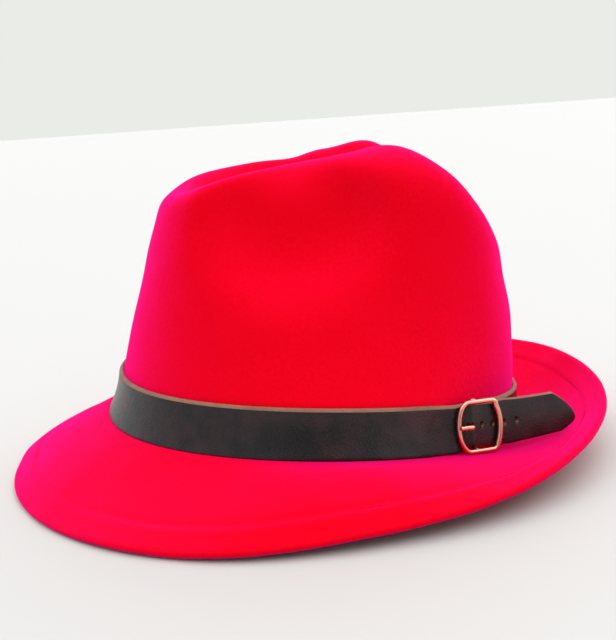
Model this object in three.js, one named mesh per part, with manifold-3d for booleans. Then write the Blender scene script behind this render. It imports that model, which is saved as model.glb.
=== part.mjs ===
// A felt trilby with a leather belt band. Millimetres, +Z up, the front at -Y, the wearer's left at +X.
// The hat is worked out upright on its own head oval, then laid back until its front edge and the foot
// of its back both touch the surface that it stands on.
import * as THREE from 'three';
import { mergeVertices } from 'three/addons/utils/BufferGeometryUtils.js';
import Module from 'manifold-3d';

const wasm = await Module();
wasm.setup();

// Felt
const headLength = 200; // outside of the felt at the band, front to back
const headWidth = 158; // outside of the felt at the band, side to side
const ovalFullness = 2.13; // 2 is an ellipse, more is squarer
const feltThickness = 2;
const crownHeight = 135; // band foot to the highest point of the crest
const creaseDepth = 26;
const creaseLength = 0.72; // share of the crest's length that the crease's floor runs along the middle
const brimWidth = 54.5;
const weltWidth = 12.5; // brim edge turned under and stitched down
const weltThickness = 1.7;

// Band
const bandHeight = 22;
const bandWave = 2.2; // the band sits higher at the sides than at the front and back
const bandFlare = 4.8; // how far the foot of the crown and band runs out
const strapThickness = 2;
const loopThickness = 1; // the strap is pared thin where it turns round the bar
const bevelHeight = 1.2; // raw edge along the top of the strap
const tailBevel = 0.25; // and along the top of its tail
const bevelDepth = 1;
const tailWidth = 18.8; // the strap is squeezed to this in the buckle
const tailLift = 4; // lower edge there above the band's lower edge
const tailLength = 50.5; // from the centre bar
const tailSpread = 1.09; // its width just behind the buckle, as a share of tailWidth
const tailPoint = 9; // depth of the tail's pointed end
const tipHeight = 0.3; // share of the tail's width at which the tip lies
const tailSwing = 20; // degrees that the tail stands away from the crown
const tailStart = 5; // degrees that it climbs just behind the buckle
const tailClimb = 11; // degrees that it climbs at its tip
const holePitch = 6;
const holeDiameter = 1.9;
const holeCount = 5;

// Buckle
const buckleDirection = 121; // degrees round from the front
const strapLeaves = 11; // degrees to each side of it where the strap parts from the felt
const strapLift = 1.2; // how far the strap is lifted off the felt as it goes under the buckle's front side
const strapRise = 1.7; // how much further out it is under the rear side than over the centre bar
const prongHole = 3.1; // from the centre bar to the hole that the prong is in
const prongSlot = 2.6; // slot in the strap's loop that the prong's eye turns in
const buckleWidth = 16.8; // between the wires of the two sides
const buckleDrop = 0.3; // the frame hangs on the strap's upper edge
const sideSlant = 3; // degrees that its top and bottom climb towards the rear
const frameRound = 0.42; // share of half the buckle's length at which its front side starts to round
const frameBow = 1.8; // how far its rear side bows out
const wireDiameter = 2.2;
const barDiameter = 1.8;
const prongDiameter = 2.2;
const eyeDiameter = 0.85; // its thin end, bent round the centre bar
const gap = 0.3; // clearance between pieces that touch

// Resolution
const directions = 64;
const wireSides = 8;

// One row for each direction round the crown, evenly spaced from the front to the back. The crest's height
// is a share of crownHeight, and the crease's depth below it a share of creaseDepth. The crest's lean
// inwards, its shoulder radius and the wall's bulge are shares of headWidth.
const crownRows = [
  { crest: 0.812, lean: 0.11, shoulder: 0.08, bulge: 0.005, crease: 0.3 },
  { crest: 0.862, lean: 0.134, shoulder: 0.092, bulge: 0.004, crease: 0.42 },
  { crest: 0.936, lean: 0.19, shoulder: 0.132, bulge: -0.02, crease: 0.5 },
  { crest: 0.984, lean: 0.215, shoulder: 0.175, bulge: -0.04, crease: 0.85 },
  { crest: 1, lean: 0.158, shoulder: 0.17, bulge: -0.01, crease: 1 },
  { crest: 0.803, lean: 0.118, shoulder: 0.14, bulge: 0.024, crease: 0.72 },
  { crest: 0.726, lean: 0.137, shoulder: 0.135, bulge: 0.022, crease: 0.42 },
];

// Likewise round the brim: its width as a share of brimWidth, and its slope in degrees at root and edge.
const brimRows = [
  { width: 1.02, root: -26, edge: -42 },
  { width: 1.0, root: -33, edge: -31 },
  { width: 0.984, root: -20, edge: -32 },
  { width: 0.914, root: 14, edge: -42 },
  { width: 0.838, root: 9, edge: 6 },
  { width: 0.835, root: 14, edge: 47 },
  { width: 0.855, root: 12, edge: 70 },
];

// Dents that are pressed into both sides of the crown. Direction and spread are in degrees. Height is a
// share of crownHeight, and so is the dent's reach above and below it. Depth and sag are shares of headWidth.
const dents = [{ direction: 68, spread: 32, height: 0.8, rise: 0.17, fall: 0.28, depth: 0.1, sag: 0.01 }];

const radians = THREE.MathUtils.degToRad;
const turn = 2 * Math.PI;

// Value of one column at a direction: the cosine series that runs through the evenly spaced rows.
function around(rows, column, angle) {
  const last = rows.length - 1;
  let value = 0;
  for (let order = 0; order <= last; order += 1) {
    let weight = 0;
    rows.forEach((row, index) => {
      const share = index === 0 || index === last ? 0.5 : 1;
      weight += share * row[column] * Math.cos((order * index * Math.PI) / last);
    });
    const end = order === 0 || order === last ? 0.5 : 1;
    value += (2 / last) * end * weight * Math.cos(order * angle);
  }
  return value;
}

// Point of the head oval at an angle, moved out along its normal and up to a height.
function ovalPoint(angle, out, z) {
  const sine = Math.sin(angle);
  const cosine = Math.cos(angle);
  const across = Math.sign(sine) * Math.abs(sine) ** (2 / ovalFullness);
  const along = -Math.sign(cosine) * Math.abs(cosine) ** (2 / ovalFullness);
  const normal = ovalNormal(angle);
  const point = new THREE.Vector3((headWidth / 2) * across, (headLength / 2) * along, z);
  return point.addScaledVector(normal, out);
}

function ovalNormal(angle) {
  const sine = Math.sin(angle);
  const cosine = Math.cos(angle);
  const power = 2 - 2 / ovalFullness;
  const x = (Math.sign(sine) * Math.abs(sine) ** power) / headWidth;
  const y = (-Math.sign(cosine) * Math.abs(cosine) ** power) / headLength;
  return new THREE.Vector3(x, y, 0).normalize();
}

const footLine = (angle) => -bandWave * Math.cos(2 * angle);
const flare = (share) => bandFlare * (1 - share) ** 2;
const bandLevels = [1 / 3, 2 / 3]; // shares of the band's height at which its curve has a corner

// Joins rings of equal count into one body. The last ring joins the first, or both ends are capped.
function loft(rings, end) {
  const count = rings[0].length;
  const positions = rings.flat().flatMap((point) => point.toArray());
  const index = [];
  const bands = end === 'joined' ? rings.length : rings.length - 1;
  for (let ring = 0; ring < bands; ring += 1) {
    const here = ring * count;
    const next = ((ring + 1) % rings.length) * count;
    for (let side = 0; side < count; side += 1) {
      const beside = (side + 1) % count;
      index.push(here + side, here + beside, next + side);
      index.push(next + side, here + beside, next + beside);
    }
  }
  if (end === 'capped') {
    const last = (rings.length - 1) * count;
    for (const [a, b, c] of THREE.ShapeUtils.triangulateShape(capOutline(rings[0]), [])) {
      index.push(c, b, a);
      index.push(last + a, last + b, last + c);
    }
  }
  const geometry = new THREE.BufferGeometry();
  geometry.setAttribute('position', new THREE.Float32BufferAttribute(positions, 3));
  geometry.setIndex(index);
  return geometry;
}

// A ring seen square on, so that its cap can be divided into triangles.
function capOutline(ring) {
  const centre = ring.reduce((sum, point) => sum.add(point), new THREE.Vector3()).divideScalar(ring.length);
  const normal = new THREE.Vector3();
  ring.forEach((point, side) => {
    const beside = ring[(side + 1) % ring.length];
    normal.add(point.clone().sub(centre).cross(beside.clone().sub(centre)));
  });
  const axis = ring[0].clone().sub(centre).normalize();
  const other = normal.normalize().clone().cross(axis);
  return ring.map((point) => {
    const arm = point.clone().sub(centre);
    return new THREE.Vector2(arm.dot(axis), arm.dot(other));
  });
}

// Joins equal points, drops the triangles that this flattens and turns every face outwards.
function weld(geometry) {
  const merged = mergeVertices(geometry, 1e-4);
  const index = [];
  for (let corner = 0; corner < merged.index.count; corner += 3) {
    const triangle = [0, 1, 2].map((step) => merged.index.getX(corner + step));
    if (new Set(triangle).size === 3) index.push(...triangle);
  }
  merged.setIndex(volume(merged, index) < 0 ? index.reverse() : index);
  return merged;
}

function volume(geometry, index) {
  const position = geometry.attributes.position;
  const corners = [0, 1, 2].map(() => new THREE.Vector3());
  let sum = 0;
  for (let corner = 0; corner < index.length; corner += 3) {
    corners.forEach((point, step) => point.fromBufferAttribute(position, index[corner + step]));
    sum += corners[0].dot(corners[1].clone().cross(corners[2]));
  }
  return sum;
}

function solid(geometry) {
  const closed = weld(geometry);
  const mesh = new wasm.Mesh({
    numProp: 3,
    vertProperties: closed.attributes.position.array,
    triVerts: new Uint32Array(closed.index.array),
  });
  return new wasm.Manifold(mesh);
}

function fromSolid(body) {
  const mesh = body.getMesh();
  const geometry = new THREE.BufferGeometry();
  geometry.setAttribute('position', new THREE.BufferAttribute(mesh.vertProperties, 3));
  geometry.setIndex(new THREE.BufferAttribute(mesh.triVerts, 1));
  return geometry;
}

// Felt body

// Crown wall and shoulder at one angle: how far out from the head oval, and how high.
function crownProfile(angle) {
  const crest = crownHeight * around(crownRows, 'crest', angle);
  const lean = headWidth * around(crownRows, 'lean', angle);
  const shoulder = headWidth * around(crownRows, 'shoulder', angle);
  const bulge = headWidth * around(crownRows, 'bulge', angle);
  const bandTop = footLine(angle) + bandHeight;
  const wall = (share) => {
    const z = bandTop + (crest - shoulder - bandTop) * share;
    const rise = (z - bandTop) / (crest - bandTop);
    return { out: -lean * rise + 4 * bulge * rise * (1 - rise), z };
  };
  const arc = (share) => {
    const start = wall(1);
    const bend = (share * Math.PI) / 2;
    return { out: start.out - shoulder * (1 - Math.cos(bend)), z: start.z + shoulder * Math.sin(bend) };
  };
  return { wall, arc };
}

function crownPoint(angle, { out, z }) {
  const point = ovalPoint(angle, out, z);
  const normal = ovalNormal(angle);
  for (const dent of dents) {
    for (const side of [1, -1]) {
      const apart = angle - side * radians(dent.direction);
      const swing = Math.atan2(Math.sin(apart), Math.cos(apart)) / radians(dent.spread);
      const above = z / crownHeight - dent.height;
      const climb = above / (above > 0 ? dent.rise : dent.fall);
      const press = Math.exp(-((swing ** 2 + climb ** 2) ** 3));
      point.addScaledVector(normal, -headWidth * dent.depth * press);
      point.z -= headWidth * dent.sag * press;
    }
  }
  return point;
}

// The crease runs down from the crest to a line along the middle of the crown.
function creasePoint(angle, share) {
  const crest = crownPoint(angle, crownProfile(angle).arc(1));
  const floor = crest.z - creaseDepth * around(crownRows, 'crease', angle);
  const middle = new THREE.Vector3(0, creaseLength * crest.y, floor);
  const ease = (1 - Math.cos(share * Math.PI)) / 2;
  return new THREE.Vector3(
    THREE.MathUtils.lerp(crest.x, middle.x, share),
    THREE.MathUtils.lerp(crest.y, middle.y, share),
    THREE.MathUtils.lerp(crest.z, middle.z, ease),
  );
}

// The brim starts at the outer foot of the band, and its slope changes evenly from root to edge.
function brimPoint(angle, share) {
  const width = brimWidth * around(brimRows, 'width', angle) - (feltThickness + weltThickness) / 2;
  const root = radians(around(brimRows, 'root', angle));
  const edge = radians(around(brimRows, 'edge', angle));
  const bend = edge - root || 1e-6; // a straight slope is taken as a very slight curve
  const slope = root + bend * share;
  const out = (width * (Math.sin(slope) - Math.sin(root))) / bend;
  const up = (width * (Math.cos(root) - Math.cos(slope))) / bend;
  return ovalPoint(angle, bandFlare + gap + strapThickness + out, footLine(angle) - gap + up);
}

// Rings of the felt's upper face from the middle of the crease out to the edge, with the felt's
// thickness under each.
function feltRings() {
  const angles = Array.from({ length: directions }, (_, step) => (step / directions) * turn);
  const rings = [];
  const ring = (place, thickness) => rings.push({ points: angles.map(place), thickness });
  for (const share of [1, 0.8, 0.6, 0.4, 0.2]) ring((angle) => creasePoint(angle, share), feltThickness);
  for (const share of [1, 0.75, 0.5, 0.25]) {
    ring((angle) => crownPoint(angle, crownProfile(angle).arc(share)), feltThickness);
  }
  for (const share of [1, 0.85, 0.68, 0.5, 0.25, 0]) {
    ring((angle) => crownPoint(angle, crownProfile(angle).wall(share)), feltThickness);
  }
  for (const share of bandLevels.toReversed()) {
    ring((angle) => ovalPoint(angle, flare(share), footLine(angle) + bandHeight * share), feltThickness);
  }
  ring((angle) => ovalPoint(angle, flare(0), footLine(angle) - gap), feltThickness);
  const weltStart = 1 - weltWidth / brimWidth;
  const weltStep = weltThickness / brimWidth;
  for (const share of [0, 0.25, 0.5, 0.75, 1]) {
    ring((angle) => brimPoint(angle, share * weltStart), feltThickness);
  }
  for (const share of [weltStart + weltStep, (1 + weltStart) / 2, 1]) {
    ring((angle) => brimPoint(angle, share), feltThickness + weltThickness);
  }
  return rings;
}

// Outward normal of a ring's point, from its neighbours along and across the rings.
function ringNormal(rings, row, step) {
  if (row === 0) return new THREE.Vector3(0, 0, 1);
  const inner = rings[row - 1].points[step];
  const outer = rings[Math.min(row + 1, rings.length - 1)].points[step];
  const before = rings[row].points[(step + directions - 1) % directions];
  const after = rings[row].points[(step + 1) % directions];
  return outer.clone().sub(inner).cross(after.clone().sub(before)).normalize();
}

function feltGeometry() {
  const rings = feltRings();
  const upper = rings.map(({ points }) => points);
  const lower = rings.map(({ points, thickness }, row) =>
    points.map((point, step) => point.clone().addScaledVector(ringNormal(rings, row, step), -thickness)),
  );
  const last = rings.length - 1;
  const rim = [0.25, 0.5, 0.75].map((share) =>
    upper[last].map((top, step) => {
      const bottom = lower[last][step];
      const radius = top.distanceTo(bottom) / 2;
      const outward = top.clone().sub(upper[last - 1][step]).normalize();
      const bend = Math.PI * share;
      return top
        .clone()
        .lerp(bottom, (1 - Math.cos(bend)) / 2)
        .addScaledVector(outward, radius * Math.sin(bend));
    }),
  );
  return weld(loft([...upper, ...rim, ...lower.reverse()], 'open'));
}

// Belt

// Place in the buckle's own leaning frame: along the strap, up from the band's foot, out from the felt.
function buckleFrame() {
  const angle = radians(buckleDirection);
  const out = ovalNormal(angle);
  const along = new THREE.Vector3(-out.y, out.x, 0);
  const origin = ovalPoint(angle, 0, footLine(angle));
  return { origin, along, out, up: new THREE.Vector3(0, 0, 1) };
}

const buckle = buckleFrame();

function atBuckle(along, up, out) {
  return buckle.origin
    .clone()
    .addScaledVector(buckle.along, along)
    .addScaledVector(buckle.up, up)
    .addScaledVector(buckle.out, out + bandFlare * (1 - up / bandHeight));
}

// Levels of the layers above the felt where the strap passes the centre bar.
const barLevel = gap + loopThickness + gap + barDiameter / 2;
const loopRadius = barDiameter / 2 + gap + loopThickness / 2;
const strapOverLoop = barLevel + loopRadius + loopThickness / 2 + gap + strapThickness / 2;
const onFelt = gap + strapThickness / 2;
const underSide = wireDiameter / 2 + gap + strapThickness / 2;
const sideReach = (buckleWidth + wireDiameter) / 2;
const leftLevel = onFelt + underSide + strapLift;
const rightLevel = strapOverLoop + strapRise + underSide;
const sideLevel = (along) => THREE.MathUtils.mapLinear(along, -sideReach, sideReach, leftLevel, rightLevel);
const middleUp = tailLift + tailWidth / 2;

// Stations of the strap near the buckle, in the order that the strap runs. Along is a share of sideReach
// from the centre bar. The belt's depth and lift go from those of the band (0) to those of the tail (1).
const loopStations = [-90, -45, 0, 45, 90].map((bend) => ({
  along: (-loopRadius * Math.cos(radians(bend))) / sideReach,
  out: barLevel + loopRadius * Math.sin(radians(bend)),
  thick: loopThickness,
  tail: 1,
}));
const attachedStations = [
  { along: 0.55, out: gap + loopThickness / 2, thick: loopThickness, tail: 1 },
  ...loopStations,
  { along: 0.35, out: barLevel + 0.65 * loopRadius, thick: loopThickness, tail: 1 },
  { along: 0.7, out: onFelt + strapThickness / 2, thick: 0.7 * strapThickness, tail: 1 },
  { along: 1.05, out: onFelt - 0.1 * strapThickness, thick: strapThickness, tail: 0.7 },
  { along: 1.35, out: onFelt - 0.36 * strapThickness, thick: strapThickness, tail: 0.3 },
];
const freeStations = [
  { along: -1.35, out: onFelt - 0.34 * strapThickness, thick: strapThickness, tail: 0.13 },
  { along: -1.02, out: onFelt + 0.5 * strapLift, thick: strapThickness, tail: 0.2 },
  { along: -0.62, out: onFelt + 1.4 * strapLift, thick: strapThickness, tail: 0.7 },
  { along: -0.5, out: onFelt + 1.8 * strapLift, thick: strapThickness, tail: 1 },
  { along: -0.22, out: strapOverLoop - 0.1 * strapThickness, thick: strapThickness, tail: 1 },
  { along: 0.05, out: strapOverLoop, thick: strapThickness, tail: 1 },
  { along: 0.4, out: strapOverLoop + 0.15 * strapRise, thick: strapThickness, tail: 1 },
  { along: 0.75, out: strapOverLoop + 0.55 * strapRise, thick: strapThickness, tail: 1 },
  { along: 1 + frameBow / sideReach, out: strapOverLoop + strapRise, thick: strapThickness, tail: 1 },
];

// Beyond the buckle the tail runs straight, swings away from the crown and climbs towards its tip.
const pastBuckle = (along) => Math.max(0, along - sideReach - frameBow);
const climbRate = (along) => {
  const share = pastBuckle(along) / (tailLength - sideReach);
  return THREE.MathUtils.lerp(Math.tan(radians(tailStart)), Math.tan(radians(tailClimb)), share);
};
const tailSlant = (along) => (pastBuckle(along) * (climbRate(0) + climbRate(along))) / 2;
const tailLevel = (along) => strapOverLoop + strapRise + pastBuckle(along) * Math.tan(radians(tailSwing));

function strapLevel(along) {
  const share = along / sideReach;
  const next = freeStations.findIndex((station) => station.along > share);
  if (next < 1) return tailLevel(along);
  const [before, after] = [freeStations[next - 1], freeStations[next]];
  return THREE.MathUtils.mapLinear(share, before.along, after.along, before.out, after.out);
}

function nearBuckle({ along, out, thick, tail, narrow = 1, foot = 0.5 }) {
  const plain = buckle.origin.clone().addScaledVector(buckle.along, along * sideReach);
  const width = THREE.MathUtils.lerp(bandHeight, tailWidth, tail);
  return {
    point: plain.addScaledVector(buckle.out, out),
    lean: buckle.out,
    straight: tail,
    thick,
    width: width * narrow,
    lift: tailLift * tail + tailSlant(along * sideReach) + width * (1 - narrow) * foot,
    turned: pastBuckle(along * sideReach) > 0 ? climbRate(along * sideReach) : 0,
  };
}

function onBand(angle) {
  return {
    point: ovalPoint(angle, onFelt, footLine(angle)),
    lean: ovalNormal(angle),
    straight: 0,
    thick: strapThickness,
    width: bandHeight,
    lift: 0,
    turned: 0,
  };
}

// Outline of the tail's end: along is a share of tailPoint, width a share of tailWidth.
const tailEnd = [
  { along: 0, width: 0.96 },
  { along: 0.3, width: 0.79 },
  { along: 0.6, width: 0.58 },
  { along: 0.82, width: 0.38 },
  { along: 0.94, width: 0.22 },
  { along: 1, width: 0.06 },
];

// The tail is a little wider again behind the buckle, and its end is cut to a point with a round tip.
function tailStations() {
  const root = tailLength - tailPoint;
  const station = (along, narrow, foot) => ({
    along: along / sideReach,
    out: tailLevel(along),
    thick: strapThickness,
    tail: 1,
    narrow,
    foot,
  });
  const { lerp } = THREE.MathUtils;
  const plain = [0.15, 0.4, 0.7].map((share) =>
    station(lerp(sideReach, root, share), lerp(tailSpread, tailEnd[0].width, share)),
  );
  const pointed = tailEnd.map(({ along, width }) => station(root + tailPoint * along, width, tipHeight));
  return [...plain, ...pointed];
}

function strapStations() {
  const first = Math.ceil(((buckleDirection + strapLeaves) / 360) * directions);
  const last = Math.floor(((buckleDirection - strapLeaves) / 360 + 1) * directions);
  const band = Array.from({ length: last - first + 1 }, (_, step) => ((first + step) / directions) * turn);
  return [
    ...attachedStations.map(nearBuckle),
    ...band.map(onBand),
    ...freeStations.map(nearBuckle),
    ...tailStations().map(nearBuckle),
  ];
}

// Section of the strap, anticlockwise seen along its run: side is a share of the half thickness, towards the
// strap's face, and up a share of the width. The face's top corner is cut back to the raw edge.
function strapSection({ thick, width, straight }) {
  const raw = THREE.MathUtils.lerp(bevelHeight, tailBevel, straight) * Math.min(1, width / tailWidth);
  const depth = Math.min(bevelDepth, 0.4 * thick);
  const face = [0, ...bandLevels, 1 - raw / width].map((up) => ({ side: thick / 2, up: up * width }));
  const back = [1, ...bandLevels.toReversed(), 0].map((up) => ({ side: -thick / 2, up: up * width }));
  return [...face, { side: thick / 2 - depth, up: width }, ...back];
}

function strapRing(stations, row) {
  const here = stations[row];
  const before = stations[Math.max(row - 1, 0)].point;
  const after = stations[Math.min(row + 1, stations.length - 1)].point;
  const run = after.clone().sub(before).setZ(0).normalize();
  const face = new THREE.Vector3(run.y, -run.x, 0);
  return strapSection(here).map(({ side, up }) => {
    const height = here.lift + up;
    const share = height / bandHeight;
    const out = THREE.MathUtils.lerp(flare(share), bandFlare * (1 - share), here.straight);
    return here.point
      .clone()
      .addScaledVector(run, here.turned * (here.width / 2 - up))
      .addScaledVector(face, side)
      .addScaledVector(here.lean, out)
      .add(new THREE.Vector3(0, 0, height));
  });
}

// Round wire along stations that lie in one plane: each has a point and a radius.
function wire(stations, planeNormal, end) {
  const count = stations.length;
  const beside = (row) => {
    const wrapped = end === 'joined' ? (row + count) % count : THREE.MathUtils.clamp(row, 0, count - 1);
    return stations[wrapped].point;
  };
  const rings = stations.map(({ point, radius }, row) => {
    const run = beside(row + 1).clone().sub(beside(row - 1));
    const side = run.cross(planeNormal).normalize();
    return Array.from({ length: wireSides }, (_, step) => {
      const bend = (step / wireSides) * turn;
      return point
        .clone()
        .addScaledVector(side, radius * Math.cos(bend))
        .addScaledVector(planeNormal, radius * Math.sin(bend));
    });
  });
  return loft(rings, end);
}

function holeCutter(along, diameter) {
  const up = middleUp + tailSlant(along);
  const ends = [-0.9, 1.4].map((reach) => strapLevel(along) + reach * strapThickness);
  const stations = ends.map((out) => ({ point: atBuckle(along, up, out), radius: diameter / 2 }));
  return solid(wire(stations, buckle.up, 'capped'));
}

// Slot through both layers of the loop round the centre bar, for the prong's eye.
function slotCutter() {
  const half = loopRadius + loopThickness;
  const depth = loopRadius + loopThickness / 2 + gap / 2;
  const corners = [-1, 1].map((side) =>
    [
      [-half, -1],
      [half, -1],
      [half, 1],
      [-half, 1],
    ].map(([along, up]) => atBuckle(along, middleUp + (up * prongSlot) / 2, barLevel + side * depth)),
  );
  return solid(loft(corners, 'capped'));
}

function strapGeometry() {
  const stations = strapStations();
  const rings = stations.map((_, row) => strapRing(stations, row));
  let strap = solid(loft(rings, 'capped')).subtract(slotCutter());
  strap = strap.subtract(holeCutter(-prongHole, prongDiameter + 2 * gap));
  for (let hole = 1; hole < holeCount; hole += 1) {
    strap = strap.subtract(holeCutter(hole * holePitch - prongHole, holeDiameter));
  }
  return fromSolid(strap);
}

// Buckle

// The frame is round at the front and slightly bowed at the rear. It hangs with its top side on the strap.
const frameHigh = tailWidth / 2 + buckleDrop + gap + wireDiameter / 2;
const frameMiddle = middleUp - buckleDrop;

function frameOutline() {
  const corner = wireDiameter;
  const arc = (centreAlong, centreUp, wide, tall, from, to, steps) =>
    Array.from({ length: steps + 1 }, (_, step) => {
      const bend = radians(from + ((to - from) * step) / steps);
      return [centreAlong + wide * Math.cos(bend), centreUp + tall * Math.sin(bend)];
    });
  const roundStart = -frameRound * sideReach;
  return [
    ...arc(sideReach - corner, corner - frameHigh, corner, corner, -90, 0, 3),
    [sideReach + frameBow, 0],
    ...arc(sideReach - corner, frameHigh - corner, corner, corner, 0, 90, 3),
    [0, frameHigh],
    ...arc(roundStart, 0, sideReach + roundStart, frameHigh, 90, 270, 12),
    [0, -frameHigh],
  ];
}

function frameGeometry() {
  const slant = Math.tan(radians(sideSlant));
  const place = ([along, up]) => atBuckle(along, frameMiddle + up + slant * along, sideLevel(along));
  const outline = frameOutline().map((corner) => ({ point: place(corner), radius: wireDiameter / 2 }));
  const across = place([1, 0]).sub(place([0, 0]));
  const upwards = place([0, 1]).sub(place([0, 0]));
  const frame = solid(wire(outline, across.cross(upwards).normalize(), 'joined'));

  // The centre bar drops from the frame's sides to lie behind the strap.
  const drop = [
    { up: frameHigh, out: sideLevel(0) },
    { up: frameHigh, out: barLevel + barDiameter / 2 },
    { up: frameHigh - barDiameter / 4, out: barLevel + barDiameter / 8 },
    { up: frameHigh - barDiameter / 2, out: barLevel },
  ];
  const mirrored = drop.map(({ up, out }) => ({ up: -up, out })).reverse();
  const bar = [...drop, ...mirrored].map(({ up, out }) => ({
    point: atBuckle(0, frameMiddle + up, out),
    radius: barDiameter / 2,
  }));
  return fromSolid(frame.add(solid(wire(bar, buckle.along, 'capped'))));
}

// The prong turns on the centre bar, comes up through its hole and rests on the frame's front side.
function prongGeometry() {
  const eyeWire = eyeDiameter / 2;
  const eye = barDiameter / 2 + gap + eyeWire;
  const onStrap = strapOverLoop + strapThickness / 2 + gap + prongDiameter / 2;
  const onSide = leftLevel + (wireDiameter + prongDiameter) / 2 + gap;
  const round = [-90, -45, 0, 45, 90].map((bend) => ({
    along: eye * Math.cos(radians(bend)),
    out: barLevel + eye * Math.sin(radians(bend)),
    radius: eyeWire,
  }));
  const stations = [
    ...round,
    { along: -0.6 * prongHole, out: barLevel + eye, radius: eyeWire },
    { along: -prongHole, out: strapOverLoop - 0.7 * strapThickness, radius: 1.5 * eyeWire },
    { along: -prongHole, out: strapOverLoop + strapThickness / 2, radius: 0.42 * prongDiameter },
    { along: -prongHole - prongDiameter / 2, out: onStrap, radius: prongDiameter / 2 },
    { along: -0.6 * sideReach, out: (onStrap + onSide) / 2, radius: prongDiameter / 2 },
    { along: -sideReach, out: onSide, radius: prongDiameter / 2 },
    { along: -sideReach - wireDiameter / 2, out: onSide - gap / 2, radius: 0.35 * prongDiameter },
  ];
  const path = stations.map(({ along, out, radius }) => ({ point: atBuckle(along, middleUp, out), radius }));
  return weld(wire(path, buckle.up, 'capped'));
}

function piece(name, geometry, finish) {
  const mesh = new THREE.Mesh(geometry, new THREE.MeshStandardMaterial(finish));
  mesh.name = name;
  return mesh;
}

const roseGold = { color: 0xd89a84, roughness: 0.25, metalness: 1 };
const hat = new THREE.Group();
hat.add(
  piece('felt_body', feltGeometry(), { color: 0xd8002c, roughness: 0.95, metalness: 0 }),
  piece('leather_strap', strapGeometry(), { color: 0x241c20, roughness: 0.5, metalness: 0 }),
  piece('buckle_frame', frameGeometry(), roseGold),
  piece('buckle_prong', prongGeometry(), roseGold),
);

// Laid back until the lowest points of its front half and of its back half are level.
function restingTilt(geometry) {
  const position = geometry.attributes.position;
  const lowest = (tilt, half) => {
    let low = Infinity;
    for (let index = 0; index < position.count; index += 1) {
      const y = position.getY(index);
      if (y * half > 0) low = Math.min(low, position.getZ(index) * Math.cos(tilt) - y * Math.sin(tilt));
    }
    return low;
  };
  let level = 0;
  let steep = Math.PI / 8;
  for (let step = 0; step < 40; step += 1) {
    const tilt = (level + steep) / 2;
    if (lowest(tilt, -1) < lowest(tilt, 1)) level = tilt;
    else steep = tilt;
  }
  return level;
}

hat.rotation.x = -restingTilt(hat.children[0].geometry);

// The origin is under the middle of the whole hat.
const trilby = new THREE.Group();
trilby.add(hat);
const box = new THREE.Box3().setFromObject(trilby, true);
const middle = box.getCenter(new THREE.Vector3());
hat.position.set(-middle.x, -middle.y, -box.min.z);

export default trilby;
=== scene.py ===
import math

import bpy
import numpy as np
from mathutils import Matrix, Vector


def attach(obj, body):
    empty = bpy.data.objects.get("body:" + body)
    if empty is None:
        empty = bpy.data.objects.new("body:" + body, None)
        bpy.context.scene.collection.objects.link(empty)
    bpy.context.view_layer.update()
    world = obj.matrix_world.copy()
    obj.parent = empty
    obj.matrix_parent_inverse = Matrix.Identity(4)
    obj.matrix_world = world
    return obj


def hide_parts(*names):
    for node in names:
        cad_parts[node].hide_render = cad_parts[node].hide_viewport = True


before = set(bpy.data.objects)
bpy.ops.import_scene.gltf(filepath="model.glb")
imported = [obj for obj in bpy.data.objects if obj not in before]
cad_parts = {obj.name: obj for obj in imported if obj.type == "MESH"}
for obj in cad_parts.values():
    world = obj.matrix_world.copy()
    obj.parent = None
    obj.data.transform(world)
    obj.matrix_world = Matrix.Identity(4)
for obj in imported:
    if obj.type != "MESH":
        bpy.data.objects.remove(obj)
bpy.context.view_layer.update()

# Felt body. The crown and the brim are one piece of wool felt, pulled over a block while wet. The crown is
# creased along its middle and pressed in at both sides, and the brim's edge is turned under and stitched.
# Sizes are in millimetres on the upright hat, whose front is at -Y; settle() lays it back on its brim.
head_length = 200
head_width = 158
oval_fullness = 2.13
felt_thickness = 2
crown_height = 135
crease_depth = 26
crease_length = 0.72
brim_width = 54.5
welt_width = 12.5
welt_thickness = 1.7
band_height = 22
band_wave = 2.2
band_flare = 4.8
strap_thickness = 2
gap = 0.3
hat_tilt = math.radians(6.907)
hat_place = (0, 5.092, 17.346)

# Evenly spaced from the front to the back. Crest heights are shares of the crown's height, crease depths
# of its depth, and the rest of the crown's width.
crest_rows = [0.812, 0.862, 0.936, 0.984, 1, 0.803, 0.726]
lean_rows = [0.11, 0.134, 0.19, 0.215, 0.158, 0.118, 0.137]
shoulder_rows = [0.08, 0.092, 0.132, 0.175, 0.17, 0.14, 0.135]
bulge_rows = [0.005, 0.004, -0.02, -0.04, -0.01, 0.024, 0.022]
crease_rows = [0.3, 0.42, 0.5, 0.85, 1, 0.72, 0.42]
brim_width_rows = [1.02, 1.0, 0.984, 0.914, 0.838, 0.835, 0.855]
brim_root_rows = [-26, -33, -20, 14, 9, 14, 12]
brim_edge_rows = [-42, -31, -32, -42, 6, 47, 70]
dent_direction, dent_spread = 68, 32
dent_height, dent_rise, dent_fall = 0.8, 0.17, 0.28
dent_depth, dent_sag = 0.1, 0.01


def around(rows, angle):
    """Value at a direction of the cosine series that runs through the rows."""
    last = len(rows) - 1
    order = np.arange(last + 1)
    ends = np.where((order == 0) | (order == last), 0.5, 1)
    series = (2 / last) * ends * (np.cos(np.outer(order, order) * np.pi / last) @ (ends * np.array(rows)))
    return np.cos(np.multiply.outer(angle, order)) @ series


def oval_normal(angle):
    sine, cosine = np.sin(angle), np.cos(angle)
    power = 2 - 2 / oval_fullness
    x = np.sign(sine) * np.abs(sine) ** power / head_width
    y = -np.sign(cosine) * np.abs(cosine) ** power / head_length
    return np.stack([x, y, 0 * x], -1) / np.hypot(x, y)[..., None]


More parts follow.
